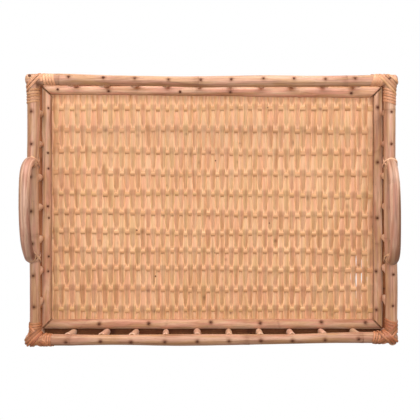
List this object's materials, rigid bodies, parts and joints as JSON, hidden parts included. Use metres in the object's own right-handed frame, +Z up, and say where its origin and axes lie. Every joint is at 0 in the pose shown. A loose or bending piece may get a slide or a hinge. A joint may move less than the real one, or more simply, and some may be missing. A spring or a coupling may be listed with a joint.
{
  "type": "serving tray",
  "caption": "Rectangular rattan serving tray with a low spindle fence, a woven mat floor, mitred half-round beads, lashed corners and an arched carrying handle on each short side.",
  "frame": {"origin": "under the middle of the tray, on the surface that it stands on", "axes": "+X along the tray from the left handle to the right one, +Y across it to the back, +Z up"},
  "size_m": [0.454, 0.334, 0.1039],
  "materials": {
    "rail_cane": "natural skinned rattan, satin",
    "base_cane": "natural skinned rattan, matt",
    "bead_cane": "split rattan, satin",
    "spindle_cane": "natural rattan, satin",
    "woven_cane": "flat woven strips, soft sheen",
    "peel": "rattan peel, soft sheen",
    "nail": "dark bronzed steel"
  },
  "bodies": {
    "root": {"back_rail": "rail_cane", "front_rail": "rail_cane", "left_rail": "rail_cane", "right_rail": "rail_cane", "back_base_pole": "base_cane", "front_base_pole": "base_cane", "left_base_pole": "base_cane", "right_base_pole": "base_cane", "left_cross_brace": "base_cane", "middle_cross_brace": "base_cane", "right_cross_brace": "base_cane", "woven_mat": "woven_cane", "front_bead": "bead_cane", "right_bead": "bead_cane", "back_bead": "bead_cane", "left_bead": "bead_cane", "back_spindle_01": "spindle_cane", "back_spindle_02": "spindle_cane", "back_spindle_03": "spindle_cane", "back_spindle_04": "spindle_cane", "back_spindle_05": "spindle_cane", "back_spindle_06": "spindle_cane", "back_spindle_07": "spindle_cane", "back_spindle_08": "spindle_cane", "back_spindle_09": "spindle_cane", "back_spindle_10": "spindle_cane", "front_spindle_01": "spindle_cane", "front_spindle_02": "spindle_cane", "front_spindle_03": "spindle_cane", "front_spindle_04": "spindle_cane", "front_spindle_05": "spindle_cane", "front_spindle_06": "spindle_cane", "front_spindle_07": "spindle_cane", "front_spindle_08": "spindle_cane", "front_spindle_09": "spindle_cane", "front_spindle_10": "spindle_cane", "left_spindle_01": "spindle_cane", "left_spindle_02": "spindle_cane", "left_spindle_03": "spindle_cane", "left_spindle_04": "spindle_cane", "left_spindle_05": "spindle_cane", "left_spindle_06": "spindle_cane", "left_spindle_07": "spindle_cane", "right_spindle_01": "spindle_cane", "right_spindle_02": "spindle_cane", "right_spindle_03": "spindle_cane", "right_spindle_04": "spindle_cane", "right_spindle_05": "spindle_cane", "right_spindle_06": "spindle_cane", "right_spindle_07": "spindle_cane", "back_left_post": "spindle_cane", "back_left_corner_binding": "peel", "back_right_post": "spindle_cane", "back_right_corner_binding": "peel", "front_left_post": "spindle_cane", "front_left_corner_binding": "peel", "front_right_post": "spindle_cane", "front_right_corner_binding": "peel", "left_handle": "rail_cane", "right_handle": "rail_cane"}
  },
  "joints": []
}
